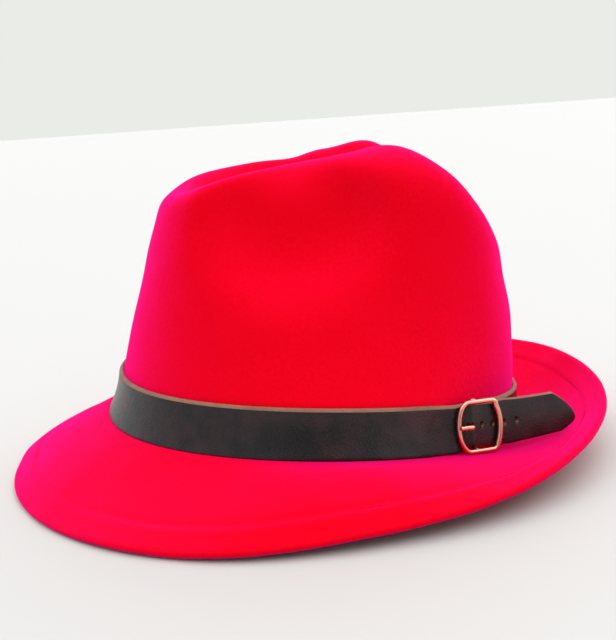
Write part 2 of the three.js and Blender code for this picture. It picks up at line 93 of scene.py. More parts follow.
def oval(angle, out, height):
    sine, cosine = np.sin(angle), np.cos(angle)
    x = head_width / 2 * np.sign(sine) * np.abs(sine) ** (2 / oval_fullness)
    y = -head_length / 2 * np.sign(cosine) * np.abs(cosine) ** (2 / oval_fullness)
    return np.stack([x, y, height + 0 * x], -1) + np.asarray(out + 0 * x)[..., None] * oval_normal(angle)


def foot_line(angle):
    return -band_wave * np.cos(2 * angle)


def flare(share):
    return band_flare * (1 - share) ** 2


def dented(angle, point):
    """Point of the crown, pressed in by the dents at both sides."""
    press = 0
    for side in (1, -1):
        apart = angle - side * math.radians(dent_direction)
        swing = np.arctan2(np.sin(apart), np.cos(apart)) / math.radians(dent_spread)
        above = point[..., 2] / crown_height - dent_height
        climb = above / np.where(above > 0, dent_rise, dent_fall)
        press = press + np.exp(-((swing**2 + climb**2) ** 3))
    moved = point - head_width * dent_depth * press[..., None] * oval_normal(angle)
    moved[..., 2] -= head_width * dent_sag * press
    return moved


def crown_wall(angle, share):
    band_top = foot_line(angle) + band_height
    crest = crown_height * around(crest_rows, angle)
    shoulder = head_width * around(shoulder_rows, angle)
    height = band_top + (crest - shoulder - band_top) * share
    rise = (height - band_top) / (crest - band_top)
    out = -head_width * around(lean_rows, angle) * rise
    out = out + 4 * head_width * around(bulge_rows, angle) * rise * (1 - rise)
    return out, height


def crown_side(angle, share):
    return dented(angle, oval(angle, *crown_wall(angle, share)))


def crown_shoulder(angle, share):
    out, height = crown_wall(angle, 1)
    shoulder = head_width * around(shoulder_rows, angle)
    bend = share * np.pi / 2
    return dented(angle, oval(angle, out - shoulder * (1 - np.cos(bend)), height + shoulder * np.sin(bend)))


def crease(angle, share):
    crest = crown_shoulder(angle, 1)
    floor = crest[..., 2] - crease_depth * around(crease_rows, angle)
    middle = np.stack([0 * floor, crease_length * crest[..., 1], floor], -1)
    ease = (1 - np.cos(share * np.pi)) / 2
    point = crest + (middle - crest) * share
    point[..., 2] = crest[..., 2] + (floor - crest[..., 2]) * ease
    return point


def brim(angle, share):
    width = brim_width * around(brim_width_rows, angle) - (felt_thickness + welt_thickness) / 2
    root = np.radians(around(brim_root_rows, angle))
    bend = np.radians(around(brim_edge_rows, angle)) - root
    bend = np.where(np.abs(bend) < 1e-6, 1e-6, bend)
    slope = root + bend * share
    out = width * (np.sin(slope) - np.sin(root)) / bend
    up = width * (np.cos(root) - np.cos(slope)) / bend
    return oval(angle, band_flare + gap + strap_thickness + out, foot_line(angle) - gap + up)


def settle(points):
    """Points of the upright hat, in metres where the hat lies."""
    points = np.asarray(points, float)
    cosine, sine = math.cos(hat_tilt), math.sin(hat_tilt)
    x, y, z = points[..., 0], points[..., 1], points[..., 2]
    return (np.stack([x, y * cosine + z * sine, z * cosine - y * sine], -1) + hat_place) / 1000


def sewn_grid(rings, closed):
    """Points and four-sided faces of rings of equal count. Closed rings join the last to the first."""
    rings = np.asarray(rings)
    rows, count = rings.shape[:2]
    row, side = np.meshgrid(np.arange(rows if closed else rows - 1), np.arange(count), indexing="ij")
    beside, below = (side + 1) % count, (row + 1) % rows
    corners = [row * count + side, row * count + beside, below * count + beside, below * count + side]
    return rings.reshape(-1, 3), np.stack(corners, -1).reshape(-1, 4)


def capped_tube(rings):
    """Points and faces of an open tube of rings with a flat face at either end."""
    points, faces = sewn_grid(rings, closed=False)
    count = len(rings[0])
    last = len(points) - count
    return points, [*faces.tolist(), list(range(count))[::-1], list(range(last, last + count))]


def made_piece(name, points, faces, *finishes):
    """A smooth mesh of millimetre points, carried by the hat."""
    mesh = bpy.data.meshes.new(name)
    mesh.from_pydata(settle(points).tolist(), [], [list(map(int, face)) for face in faces])
    mesh.update()
    for finish in finishes:
        mesh.materials.append(finish)
    mesh.shade_smooth()
    made = bpy.data.objects.new(name, mesh)
    bpy.context.scene.collection.objects.link(made)
    return made


def outward(rings):
    """Normals of a sheet of rings, from each point's neighbours along and across them. The first ring is folded
    flat in the crease, where they point up."""
    along = np.roll(rings, -1, 1) - np.roll(rings, 1, 1)
    across = np.gradient(rings, axis=0)
    normal = np.cross(across, along)
    normal[0] = (0, 0, 1)
    return normal / np.maximum(np.linalg.norm(normal, axis=-1, keepdims=True), 1e-9)


felt_columns = 320
crease_rings = 24
shoulder_rings = 14
wall_rings = 30
band_rings = 7
felt_around = np.arange(felt_columns) / felt_columns * 2 * np.pi
foot = foot_line(felt_around)
welt_start = 1 - welt_width / brim_width
brim_shares = np.concatenate([np.linspace(0, welt_start, 20), np.linspace(welt_start, 1, 13)[1:]])
sheet = np.array(
    [
        *(crease(felt_around, share) for share in np.linspace(1, 0, crease_rings + 1)[:-1]),
        *(crown_shoulder(felt_around, share) for share in np.linspace(1, 0, shoulder_rings + 1)[:-1]),
        *(crown_side(felt_around, share) for share in np.linspace(1, 0, wall_rings + 1)[:-1]),
        *(
            oval(felt_around, flare(share), foot + band_height * share)
            for share in np.linspace(1, 0, band_rings)
        ),
        oval(felt_around, flare(0), foot - gap),
        *(brim(felt_around, share) for share in brim_shares),
    ]
)
crown_rings = len(sheet) - len(brim_shares)
last_wall_ring = crease_rings + shoulder_rings + wall_rings - 1

# Wet felt bridges the block's edges, so the shoulder runs into the wall and the crease without a ridge.
smoothing_strokes = 12
for stroke in range(smoothing_strokes):
    before, middle, after = (sheet[step : last_wall_ring - 1 + step] for step in range(3))
    sheet[1:last_wall_ring] = (before + 2 * middle + after) / 4
facing = outward(sheet)

# Handwork leaves the felt slightly uneven, apart from where the band holds it.
wave_count = 14
wave_height = 0.1
shortest_wave, longest_wave = 16, 46
fade_rings = 3
random_waves = np.random.default_rng(7)
uneven = np.zeros(sheet.shape[:2])
for wave in range(wave_count):
    heading = random_waves.normal(size=3)
    heading /= np.linalg.norm(heading)
    length = random_waves.uniform(shortest_wave, longest_wave)
    phase = random_waves.uniform(0, 2 * np.pi)
    uneven += np.sin(sheet @ heading * 2 * np.pi / length + phase) * length / longest_wave
free = np.ones(len(sheet))
free[last_wall_ring - fade_rings : crown_rings + fade_rings] = 0
fade = np.ones(2 * fade_rings + 1) / (2 * fade_rings + 1)
free = np.convolve(np.pad(free, fade_rings, mode="edge"), fade, mode="valid")
free[last_wall_ring : crown_rings + 1] = 0
sheet = sheet + facing * (wave_height * uneven * free[:, None])[..., None]

# The line of stitches pulls the upper side in, and the turned edge swells a little beside it.
dip_depth, dip_width = 0.45, 0.9
swell_height, swell_place, swell_width = 0.25, 3.5, 2.4
from_stitch = (brim_shares - welt_start) * brim_width
dip = -dip_depth * np.exp(-((from_stitch / dip_width) ** 2))
swell = swell_height * np.exp(-(((from_stitch - swell_place) / swell_width) ** 2))
sheet[crown_rings:] += facing[crown_rings:] * (dip + swell)[:, None, None]

thickness = np.full(len(sheet), float(felt_thickness))
thickness[crown_rings:] += np.where(brim_shares > welt_start, welt_thickness, 0)
underside = sheet - facing * thickness[:, None, None]
reach = sheet[-1] - sheet[-2]
reach /= np.linalg.norm(reach, axis=-1, keepdims=True)
radius = np.linalg.norm(sheet[-1] - underside[-1], axis=-1, keepdims=True) / 2
edge = []
for bend in np.linspace(0, np.pi, 11)[1:-1]:
    along_edge = sheet[-1] + (underside[-1] - sheet[-1]) * (1 - math.cos(bend)) / 2
    edge.append(along_edge + reach * radius * math.sin(bend))
felt_points, felt_faces = sewn_grid(np.concatenate([underside, edge[::-1], sheet[::-1]]), closed=False)


def node_chain(tree):
    """Shorthands that add a node to a tree and join two sockets of it."""

    def add(kind, **settings):
        node = tree.nodes.new(kind)
        for key, value in settings.items():
            setattr(node, key, value)
        return node

    return add, tree.links.new


def new_effect(name, inputs, outputs):
    """A node group with named float inputs and named outputs."""
    group = bpy.data.node_groups.new(name, "ShaderNodeTree")
    for label, value in inputs.items():
        group.interface.new_socket(label, in_out="INPUT", socket_type="NodeSocketFloat").default_value = value
    for label, kind in outputs.items():
        group.interface.new_socket(label, in_out="OUTPUT", socket_type=kind)
    add, join = node_chain(group)
    return group, add, join, add("NodeGroupInput"), add("NodeGroupOutput")


def placed_effect(add, group, **values):
    node = add("ShaderNodeGroup")
    node.node_tree = group
    for label, value in values.items():
        node.inputs[label.replace("_", " ")].default_value = value
    return node


def new_finish(name):
    """A material with shorthands for its nodes, and its shader."""
    finish = bpy.data.materials.new(name)
    finish.use_nodes = True
    return finish, *node_chain(finish.node_tree), finish.node_tree.nodes["Principled BSDF"]


def scaled_place(add, join, scale):
    """Object coordinates times a socket."""
    scaled = add("ShaderNodeVectorMath", operation="SCALE")
    join(add("ShaderNodeTexCoord").outputs["Object"], scaled.inputs[0])
    join(scale, scaled.inputs["Scale"])
    return scaled.outputs[0]


def noise(add, join, place, scale, detail, roughness):
    node = add("ShaderNodeTexNoise")
    node.inputs["Scale"].default_value = scale
    node.inputs["Detail"].default_value = detail
    node.inputs["Roughness"].default_value = roughness
    join(place, node.inputs["Vector"])
    return node


def mixed(add, join, factor, first, second):
    """Mix of two colours, each a socket or a plain colour, by a factor socket."""
    node = add("ShaderNodeMix", data_type="RGBA")
    join(factor, node.inputs["Factor"])
    for socket, value in ((node.inputs[6], first), (node.inputs[7], second)):
        if isinstance(value, tuple):
            socket.default_value = (*value, 1)
        else:
            join(value, socket)
    return node.outputs[2]


def ranged(add, join, value, low, high, start, end):
    node = add("ShaderNodeMapRange")
    join(value, node.inputs["Value"])
    for label, number in (("From Min", low), ("From Max", high), ("To Min", start), ("To Max", end)):
        node.inputs[label].default_value = number
    return node.outputs["Result"]


def sum_of(add, join, first, second, share):
    """First plus a share of second."""
    node = add("ShaderNodeMath", operation="MULTIPLY_ADD")
    join(second, node.inputs[0])
    node.inputs[1].default_value = share
    join(first, node.inputs[2])
    return node.outputs[0]


def bumped(add, join, height, strength, distance):
    node = add("ShaderNodeBump")
    node.inputs["Strength"].default_value = strength
    node.inputs["Distance"].default_value = distance
    join(height, node.inputs["Height"])
    return node.outputs["Normal"]


wool_fibres, add, join, given, result = new_effect(
    "Wool fibres",
    {"Scale": 1},
    {"Height": "NodeSocketFloat", "Nap": "NodeSocketFloat", "Cloud": "NodeSocketFloat"},
)
place = scaled_place(add, join, given.outputs["Scale"])
clumps = noise(add, join, place, 620, 5, 0.62)
hairs = noise(add, join, place, 2600, 3, 0.6)
clouds = noise(add, join, place, 42, 3, 0.5)
join(sum_of(add, join, clumps.outputs["Fac"], hairs.outputs["Fac"], 0.6), result.inputs["Height"])
join(ranged(add, join, clumps.outputs["Fac"], 0.35, 0.68, 0, 1), result.inputs["Nap"])
join(ranged(add, join, clouds.outputs["Fac"], 0.35, 0.65, 0, 1), result.inputs["Cloud"])

felt_finish, add, join, shader = new_finish("red_wool_felt")
fibres = placed_effect(add, wool_fibres, Scale=1)
deep = mixed(add, join, fibres.outputs["Nap"], (0.73, 0.0, 0.0), (0.84, 0.0, 0.003))
join(mixed(add, join, fibres.outputs["Cloud"], deep, (0.78, 0.0, 0.001)), shader.inputs["Base Color"])
shader.inputs["Roughness"].default_value = 0.95
shader.inputs["Specular IOR Level"].default_value = 0.03
shader.inputs["Sheen Weight"].default_value = 1
shader.inputs["Sheen Roughness"].default_value = 0.5
shader.inputs["Sheen Tint"].default_value = (1, 0.01, 0.43, 1)
join(bumped(add, join, fibres.outputs["Height"], 0.4, 0.0005), shader.inputs["Normal"])

felt_body = made_piece("felt_hat_body", felt_points, felt_faces, felt_finish)
weld = felt_body.modifiers.new("weld", "WELD")
weld.merge_threshold = 1e-6
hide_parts("felt_body")
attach(felt_body, "root")

# Brim stitching. One line of machine stitches in red thread runs all round, a welt's width from the edge,
# and holds the turned edge down. Each stitch lies in the dip that it pulls in the felt.
stitch_pitch = 3.6
stitch_length = 2.6
thread_radius = 0.24
stitch_sunk = 0.72
stitch_bow = 0.34
end_radius = 0.35

walk = np.linspace(0, 2 * np.pi, 4001)
line = brim(walk, welt_start)
run = np.concatenate([[0], np.cumsum(np.linalg.norm(np.diff(line, axis=0), axis=1))])
stitch_count = round(run[-1] / stitch_pitch)
stitch_points, stitch_faces = [], []
for stitch in range(stitch_count):
    middle = (stitch + 0.5) * run[-1] / stitch_count
    here = np.interp(middle, run, walk)
    ahead = np.interp(middle + 0.5, run, walk)
    centre = brim(here, welt_start)
    heading = brim(ahead, welt_start) - centre
    heading /= np.linalg.norm(heading)
    outwards = brim(here, welt_start + 0.01) - centre
    outwards /= np.linalg.norm(outwards)
    up = np.cross(heading, outwards)
    up *= np.sign(up[2])
    rings = []
    for share in (-1, -0.85, -0.5, 0, 0.5, 0.85, 1):
        bow = 1 - share**2
        radius = thread_radius * (end_radius + (1 - end_radius) * bow**0.5)
        lift = stitch_bow * bow**0.5 - stitch_sunk
        middle_point = centre + heading * share * stitch_length / 2 + up * lift
        rings.append(
            [
                middle_point + radius * (math.cos(side) * up + math.sin(side) * outwards)
                for side in np.arange(6) / 6 * 2 * np.pi
            ]
        )
    points, faces = capped_tube(rings)
    before = sum(map(len, stitch_points))
    stitch_faces.extend([before + corner for corner in face] for face in faces)
    stitch_points.append(points)

thread_finish, add, join, shader = new_finish("red_sewing_thread")
fibres = placed_effect(add, wool_fibres, Scale=3)
dyed = mixed(add, join, fibres.outputs["Nap"], (0.6, 0.0, 0.002), (0.8, 0.0, 0.004))
join(dyed, shader.inputs["Base Color"])
shader.inputs["Roughness"].default_value = 0.8
shader.inputs["Specular IOR Level"].default_value = 0.05
shader.inputs["Sheen Weight"].default_value = 0.8
shader.inputs["Sheen Roughness"].default_value = 0.5
shader.inputs["Sheen Tint"].default_value = (1, 0.01, 0.43, 1)
join(bumped(add, join, fibres.outputs["Height"], 0.4, 0.0002), shader.inputs["Normal"])
stitching = made_piece("brim_stitching", np.concatenate(stitch_points), stitch_faces, thread_finish)
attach(stitching, "root")

# Leather strap. It is one belt of dyed leather that wraps the crown, with raw tan edges. One end is pared
# thin and turned round the buckle's centre bar, and the other passes over the bar and ends in a free tail.
loop_thickness = 1
bevel_height = 1.2
tail_bevel = 0.25
bevel_depth = 1
tail_width = 18.8
tail_lift = 4
tail_length = 50.5
tail_spread = 1.09
tail_narrowing = 0.96
tail_point = 9
tip_height = 0.3
tail_swing = 20
tail_start = 5
tail_climb = 11
hole_pitch = 6
hole_diameter = 1.9
hole_count = 5
buckle_direction = 121
strap_leaves = 11
strap_lift = 1.2
strap_rise = 1.7
prong_hole = 3.1
prong_slot = 2.6
prong_diameter = 2.2
buckle_width = 16.8
frame_bow = 1.8
wire_diameter = 2.2
bar_diameter = 1.8

buckle_angle = math.radians(buckle_direction)
buckle_out = oval_normal(buckle_angle)
buckle_along = np.array([-buckle_out[1], buckle_out[0], 0])
buckle_up = np.array([0, 0, 1])
buckle_origin = oval(buckle_angle, 0, foot_line(buckle_angle))

bar_level = gap + loop_thickness + gap + bar_diameter / 2
loop_radius = bar_diameter / 2 + gap + loop_thickness / 2
over_loop = bar_level + loop_radius + loop_thickness / 2 + gap + strap_thickness / 2
on_felt = gap + strap_thickness / 2
under_side = wire_diameter / 2 + gap + strap_thickness / 2
side_reach = (buckle_width + wire_diameter) / 2
left_level = on_felt + under_side + strap_lift
right_level = over_loop + strap_rise + under_side
middle_up = tail_lift + tail_width / 2


def at_buckle(along, up, out):
    """Point beside the buckle: along the strap, up from the band's foot, out from the felt."""
    leaning = out + band_flare * (1 - up / band_height)
    return buckle_origin + along * buckle_along + up * buckle_up + leaning * buckle_out


# Each station has its place along (a share of the side's reach), level, thickness, and how far the belt
# has gone from the band's depth (0) to the tail's (1).
bend_round_bar = [
    (-loop_radius * math.cos(bend) / side_reach, bar_level + loop_radius * math.sin(bend), loop_thickness, 1)
    for bend in np.radians(np.linspace(-90, 90, 9))
]
held_end = [
    (0.55, gap + loop_thickness / 2, loop_thickness, 1),
    *bend_round_bar,
    (0.35, bar_level + 0.65 * loop_radius, loop_thickness, 1),
    (0.7, on_felt + strap_thickness / 2, 0.7 * strap_thickness, 1),
    (1.05, on_felt - 0.1 * strap_thickness, strap_thickness, 0.7),
    (1.35, on_felt - 0.36 * strap_thickness, strap_thickness, 0.3),
]
free_end = [
    (-1.35, on_felt - 0.34 * strap_thickness, strap_thickness, 0.13),
    (-1.02, on_felt + 0.5 * strap_lift, strap_thickness, 0.2),
    (-0.62, on_felt + 1.4 * strap_lift, strap_thickness, 0.7),
    (-0.5, on_felt + 1.8 * strap_lift, strap_thickness, 1),
    (-0.22, over_loop - 0.1 * strap_thickness, strap_thickness, 1),
    (0.05, over_loop, strap_thickness, 1),
    (0.4, over_loop + 0.15 * strap_rise, strap_thickness, 1),
    (0.75, over_loop + 0.55 * strap_rise, strap_thickness, 1),
    (1 + frame_bow / side_reach, over_loop + strap_rise, strap_thickness, 1),
]


def past_buckle(along):
    return max(0, along - side_reach - frame_bow)


def tail_level(along):
    return over_loop + strap_rise + past_buckle(along) * math.tan(math.radians(tail_swing))


def climb_rate(along):
    start, end = math.tan(math.radians(tail_start)), math.tan(math.radians(tail_climb))
    return start + (end - start) * past_buckle(along) / (tail_length - side_reach)


def tail_slant(along):
    return past_buckle(along) * (climb_rate(0) + climb_rate(along)) / 2


def near_buckle(along, out, thick, tail, narrow=1, foot=0.5):
    """Row of a belt station: point, lean, straightness, thickness, width, lift and how far it is turned."""
    width = band_height + (tail_width - band_height) * tail
    lift = tail_lift * tail + tail_slant(along * side_reach) + width * (1 - narrow) * foot
    point = buckle_origin + along * side_reach * buckle_along + out * buckle_out
    turned = climb_rate(along * side_reach) if past_buckle(along * side_reach) > 0 else 0
    return np.array([*point, *buckle_out, tail, thick, width * narrow, lift, turned])


def smooth_rows(rows, steps):
    """More rows between the given ones, on a smooth curve through them."""
    rows = np.array(rows)
    padded_rows = np.concatenate([rows[:1] * 2 - rows[1:2], rows, rows[-1:] * 2 - rows[-2:-1]])
    result = []
    for index in range(1, len(padded_rows) - 2):
        p0, p1, p2, p3 = padded_rows[index - 1 : index + 3]
        # Tangents follow the spacing, so that short steps beside long ones don't overshoot.
        d0, d1, d2 = (max(np.linalg.norm((b - a)[:3]), 1e-6) for a, b in ((p0, p1), (p1, p2), (p2, p3)))
        m1 = d1 * ((p1 - p0) / d0 * d1 + (p2 - p1) / d1 * d0) / (d0 + d1)
        m2 = d1 * ((p2 - p1) / d1 * d2 + (p3 - p2) / d2 * d1) / (d1 + d2)
        for t in np.arange(steps) / steps:
            a, b = 2 * t**3 - 3 * t**2 + 1, t**3 - 2 * t**2 + t
            result.append(a * p1 + b * m1 + (1 - a) * p2 + (t**3 - t**2) * m2)
    return [*result, rows[-1]]


tail_root = tail_length - tail_point
tail_rows = []
for share in (0.15, 0.4, 0.7, 0.99):
    at = side_reach + (tail_root - side_reach) * share
    narrow = tail_spread - (tail_spread - tail_narrowing) * share
    tail_rows.append(near_buckle(at / side_reach, tail_level(at), strap_thickness, 1, narrow))
end_rows = []
for share, narrow in ((0, tail_narrowing), (0.3, 0.79), (0.6, 0.58), (0.82, 0.38), (0.94, 0.22), (1, 0.06)):
    at = tail_root + tail_point * share
    end_rows.append(near_buckle(at / side_reach, tail_level(at), strap_thickness, 1, narrow, tip_height))
turn_steps = 64
band_stations = 211
band_from = math.ceil((buckle_direction + strap_leaves) / 360 * turn_steps) / turn_steps
band_to = math.floor(((buckle_direction - strap_leaves) / 360 + 1) * turn_steps) / turn_steps
band_rows = []
for angle in np.linspace(band_from, band_to, band_stations) * 2 * np.pi:
    on_band = [*oval(angle, on_felt, foot_line(angle)), *oval_normal(angle)]
    band_rows.append(np.array([*on_band, 0, strap_thickness, band_height, 0, 0]))
belt_rows = [
    *smooth_rows([*(near_buckle(*station) for station in held_end), band_rows[0]], 4),
    *band_rows[1:-1],
    *smooth_rows([band_rows[-1], *(near_buckle(*station) for station in free_end), *tail_rows], 4),
    *smooth_rows(end_rows, 3),
]

strap_rings = []
for index, row in enumerate(belt_rows):
    before, after = belt_rows[max(index - 1, 0)][:3], belt_rows[min(index + 1, len(belt_rows) - 1)][:3]
    heading = (after - before) * (1, 1, 0)
    heading /= np.linalg.norm(heading)
    face_out = np.array([heading[1], -heading[0], 0])
    lean, (straight, thick, width, lift, turned) = row[3:6], row[6:]
    depth = min(bevel_depth, 0.4 * thick)
    small = min(1, width / tail_width)
    raw = (bevel_height + (tail_bevel - bevel_height) * straight) * small
    soft = 0.3 * thick * small
    top_face = width - raw
    section = [(thick / 2 - soft, 0.0), (thick / 2 - 0.3 * soft, 0.08 * soft), (thick / 2, 0.6 * soft)]
    section += [(thick / 2 + 0.12 * math.sin(np.pi * s), s * top_face) for s in np.linspace(0.08, 0.92, 9)]
    section += [(thick / 2, top_face - 0.25 * small), (thick / 2 - 0.06, top_face)]
    section += [(thick / 2 - depth * s, top_face + raw * s) for s in (0.35, 0.7, 0.94)]
    section += [(thick / 2 - depth - 0.12 * thick, width)]
    section += [(-thick / 2 + 0.1, width), (-thick / 2, width - 0.15 * small)]
    section += [(-thick / 2, s * width) for s in np.linspace(0.85, 0.1, 8)]
    section += [(-thick / 2, 0.15 * small), (-thick / 2 + 0.1, 0.0)]
    ring = []
    for side, up in section:
        height = lift + up
        share = height / band_height
        out = flare(share) * (1 - straight) + band_flare * (1 - share) * straight
        back = heading * turned * (width / 2 - up)
        ring.append(row[:3] + back + face_out * side + lean * out + np.array([0, 0, height]))
    strap_rings.append(ring)
section_count = len(strap_rings[0])
strap_points, strap_faces = sewn_grid(strap_rings, closed=False)
last_ring = (len(strap_rings) - 1) * section_count
strap_faces = [list(face[::-1]) for face in strap_faces]
strap_faces.append(list(range(section_count)))
strap_faces.append([last_ring + step for step in reversed(range(section_count))])

leather_grain, add, join, given, result = new_effect(
    "Leather grain",
    {"Grain Scale": 900},
    {"Height": "NodeSocketFloat", "Pores": "NodeSocketFloat", "Wear And Reflection": "NodeSocketFloat"},
)
place = add("ShaderNodeTexCoord").outputs["Object"]
cells = add("ShaderNodeTexVoronoi", feature="F1")
join(place, cells.inputs["Vector"])
join(given.outputs["Grain Scale"], cells.inputs["Scale"])
creases = noise(add, join, place, 260, 4, 0.6)
smears = noise(add, join, place, 70, 4, 0.6)
pores = ranged(add, join, cells.outputs["Distance"], 0.1, 0.6, 1, 0)
join(sum_of(add, join, creases.outputs["Fac"], pores, 0.45), result.inputs["Height"])
join(pores, result.inputs["Pores"])
# Noise patches: wear on the raw edge, and on the dark leather both wear and a painted reflection of the red
# felt.
join(ranged(add, join, smears.outputs["Fac"], 0.4, 0.7, 0, 1), result.inputs["Wear And Reflection"])

leather_finish, add, join, shader = new_finish("dark_strap_leather")
grain = placed_effect(add, leather_grain, Grain_Scale=1100)
dyed = mixed(add, join, grain.outputs["Pores"], (0.002, 0.0025, 0.003), (0.006, 0.0045, 0.006))
# The reddish brown mixed into the dark leather through these patches is partly wear and partly a painted
# reflection of the red felt brim.
join(mixed(add, join, grain.outputs["Wear And Reflection"], dyed, (0.026, 0.01, 0.014)), shader.inputs["Base Color"])
join(ranged(add, join, grain.outputs["Pores"], 0, 1, 0.36, 0.22), shader.inputs["Roughness"])
shader.inputs["Specular IOR Level"].default_value = 0.42
join(bumped(add, join, grain.outputs["Height"], 0.35, 0.0004), shader.inputs["Normal"])

raw_finish, add, join, shader = new_finish("raw_leather_edge")
grain = placed_effect(add, leather_grain, Grain_Scale=2600)
tan = mixed(add, join, grain.outputs["Pores"], (0.24, 0.12, 0.075), (0.34, 0.18, 0.12))
join(mixed(add, join, grain.outputs["Wear And Reflection"], tan, (0.2, 0.09, 0.06)), shader.inputs["Base Color"])
shader.inputs["Roughness"].default_value = 0.8
join(bumped(add, join, grain.outputs["Height"], 0.5, 0.0004), shader.inputs["Normal"])

# These sides of the section, from the foot of the bevel to the back of the upper edge, are raw leather.
raw_from, raw_to = 13, 19
strap = made_piece("belt_band_strap", strap_points, strap_faces, leather_finish, raw_finish)
for polygon in strap.data.polygons:
    side = polygon.index % section_count
    if polygon.index >= last_ring or raw_from <= side <= raw_to:
        polygon.material_index = 1


def round_rings(start, end, radius, sides=24):
    """Two rings of a round rod between two points."""
    axis = (end - start) / np.linalg.norm(end - start)
    side = np.cross(axis, buckle_up)
    side /= np.linalg.norm(side)
    other = np.cross(axis, side)
    turn = np.arange(sides) / sides * 2 * np.pi
    return [
        [centre + radius * (math.cos(bend) * side + math.sin(bend) * other) for bend in turn]
        for centre in (start, end)
    ]


def punched(piece, rings):
    """Cuts the tube of the rings out of the piece, and leaves raw leather there."""
    points, faces = capped_tube(rings)
    punch = made_piece("punch", points, faces, raw_finish)
    punch.data.shade_flat()
    cut = piece.modifiers.new("cut", "BOOLEAN")
    cut.object, cut.operation, cut.solver, cut.material_mode = punch, "DIFFERENCE", "EXACT", "TRANSFER"
    graph = bpy.context.evaluated_depsgraph_get()
    cut_mesh = bpy.data.meshes.new_from_object(piece.evaluated_get(graph))
    piece.modifiers.clear()
    piece.data = cut_mesh
    bpy.data.objects.remove(punch)


def strap_level(along):
    share = along / side_reach
    stations = [(station[0], station[1]) for station in free_end]
    if share > stations[-1][0]:
        return tail_level(along)
    return float(np.interp(share, *zip(*stations)))


half_slot = loop_radius + loop_thickness
slot_reach = loop_radius + 0.65
slot_corners = [
    [
        at_buckle(along * half_slot, middle_up + up * prong_slot / 2, bar_level + side * slot_reach)
        for along, up in ((-1, -1), (1, -1), (1, 1), (-1, 1))
    ]
    for side in (-1, 1)
]
punched(strap, slot_corners)
for hole in range(hole_count):
    along = hole * hole_pitch - prong_hole
    start, end = (
        at_buckle(along, middle_up + tail_slant(along), strap_level(along) + reach * strap_thickness)
        for reach in (-0.9, 1.4)
    )
    punched(strap, round_rings(start, end, hole_diameter / 2 if hole else prong_diameter / 2 + gap))
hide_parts("leather_strap")
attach(strap, "root")

# Buckle frame. One bent and brazed wire of rose gold plated metal, round at the front and straight at the
# rear, with a centre bar that drops behind the strap. The strap's loop holds it by the bar.
frame_round = 0.42
buckle_drop = 0.3
side_slant = 3
frame_high = tail_width / 2 + buckle_drop + gap + wire_diameter / 2
frame_middle = middle_up - buckle_drop
frame_corner = wire_diameter
rear_extra = 0.25


def arc(centre_along, centre_up, wide, tall, start, end, steps):
    return [
        (centre_along + wide * math.cos(bend), centre_up + tall * math.sin(bend))
        for bend in np.radians(np.linspace(start, end, steps + 1))
    ]


def round_wire(path, radii, plane, closed, sides=20):
    """Round wire along a path that lies in one plane, closed or with a flat face at either end."""
    path, count = np.asarray(path), len(path)
    rings = []
    for index, (point, radius) in enumerate(zip(path, radii)):
        before = path[index - 1] if index or closed else path[0]
        after = path[(index + 1) % count] if closed or index < count - 1 else path[-1]
        side = np.cross(plane, after - before)
        side /= np.linalg.norm(side)
        turn = np.arange(sides) / sides * 2 * np.pi
        rings.append([point + radius * (math.cos(bend) * side + math.sin(bend) * plane) for bend in turn])
    return sewn_grid(rings, True) if closed else capped_tube(rings)


round_start = -frame_round * side_reach
rear_half = frame_high - frame_corner
bowed_rear = [
    (side_reach + frame_bow * (1 - (up / rear_half) ** 2), up)
    for up in np.linspace(-rear_half, rear_half, 13)
]
frame_path = [
    *arc(side_reach - frame_corner, frame_corner - frame_high, frame_corner, frame_corner, -90, 0, 6)[:-1],
    *bowed_rear,
    *arc(side_reach - frame_corner, frame_high - frame_corner, frame_corner, frame_corner, 0, 90, 6)[1:],
    *[(along, frame_high) for along in (4.5, 2, 0, -2)],
    *arc(round_start, 0, side_reach + round_start, frame_high, 90, 270, 40),
    *[(along, -frame_high) for along in (-2, 0, 2, 4.5)],
]


def side_level(along):
    return left_level + (right_level - left_level) * (along + side_reach) / (2 * side_reach)


def on_frame(along, up):
    slant = math.tan(math.radians(side_slant))
    return at_buckle(along, frame_middle + up + slant * along, side_level(along))


frame_plane = np.cross(on_frame(1, 0) - on_frame(0, 0), on_frame(0, 1) - on_frame(0, 0))
frame_plane /= np.linalg.norm(frame_plane)
rear_swell = [
    rear_extra * min(1, max(0, (along - side_reach + frame_corner) / frame_corner)) for along, _ in frame_path
]
frame_points, frame_faces = round_wire(
    [
        on_frame(along, up) + buckle_out * swell * wire_diameter / 2
        for (along, up), swell in zip(frame_path, rear_swell)
    ],
    [wire_diameter / 2 * (1 + swell) for swell in rear_swell],
    frame_plane,
    True,
)
half_bar = [
    (frame_high, side_level(0)),
    (frame_high, bar_level + bar_diameter),
    (frame_high - 0.05 * bar_diameter, bar_level + 0.45 * bar_diameter),
    (frame_high - 0.2 * bar_diameter, bar_level + 0.16 * bar_diameter),
    (frame_high - 0.42 * bar_diameter, bar_level + 0.03 * bar_diameter),
    (frame_high - 0.7 * bar_diameter, bar_level),
]
bar_path = half_bar + [(-up, out) for up, out in reversed(half_bar)]
bar_points, bar_faces = round_wire(
    [at_buckle(0, frame_middle + up, out) for up, out in bar_path],
    [bar_diameter / 2] * len(bar_path),
    buckle_along,
    False,
)

polish_marks, add, join, given, result = new_effect(
    "Polish marks", {"Scale": 1}, {"Mark": "NodeSocketFloat", "Rub": "NodeSocketFloat"}
)
place = scaled_place(add, join, given.outputs["Scale"])
stretched = add("ShaderNodeMapping")
stretched.inputs["Scale"].default_value = (1, 1, 0.15)
join(place, stretched.inputs["Vector"])
scratches = noise(add, join, stretched.outputs["Vector"], 2400, 4, 0.7)
rubs = noise(add, join, place, 300, 2, 0.5)
join(scratches.outputs["Fac"], result.inputs["Mark"])
join(rubs.outputs["Fac"], result.inputs["Rub"])

